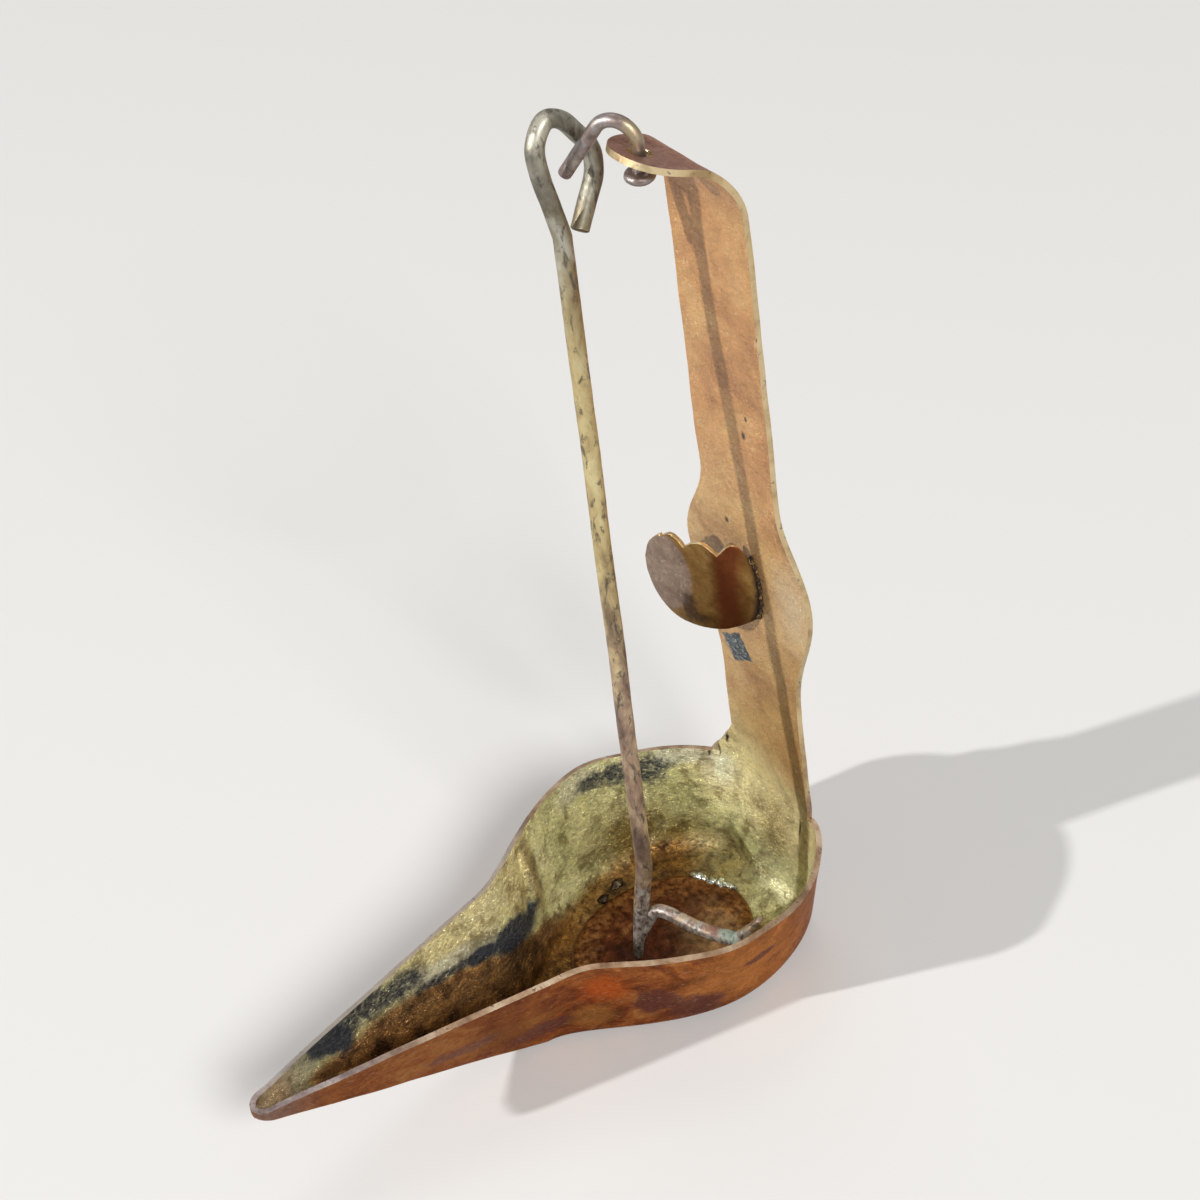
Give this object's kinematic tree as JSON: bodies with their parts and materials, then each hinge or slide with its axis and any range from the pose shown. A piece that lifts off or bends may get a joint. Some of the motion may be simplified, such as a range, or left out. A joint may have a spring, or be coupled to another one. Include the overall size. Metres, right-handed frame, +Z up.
{
  "type": "betty lamp drip pan",
  "caption": "Brass drip pan with a long pointed spout, tall back strap, notched leaf and a wire hanging rod linked to a swivelling hook.",
  "frame": {"origin": "on the table under the middle of the box round the whole object", "axes": "+Z up, -Y towards the tip of the spout, +X to the side that the picture was taken from"},
  "size_m": [0.0584, 0.122, 0.1836],
  "materials": {
    "pan_brass": "worn golden brass with brown patina and soot",
    "stained_plate": "dark red-brown oil residue",
    "leaf_brass": "golden brown, grey and worn at the free end",
    "hook_steel": "blue-grey wire with remains of brass colour",
    "rod_brass": "brassy wire with dark speckled patina"
  },
  "bodies": {
    "lamp_body": {"pan": "pan_brass", "floor_plate": "stained_plate", "leaf_bracket": "leaf_brass"},
    "hook": {"swivel_hook": "hook_steel"},
    "rod": {"hanging_rod": "rod_brass"}
  },
  "joints": [
    {"name": "hook_swivel", "type": "hinge", "parent": "lamp_body", "child": "hook", "pos_m": [0, 0.04152, 0.17639], "axis": [0, 0, 1], "range_deg": [-30, 5]},
    {"name": "rod_lift", "type": "slide", "parent": "hook", "child": "rod", "axis": [-0.0827, 0.0367, 0.9959], "range_m": [0, 0.006]}
  ]
}
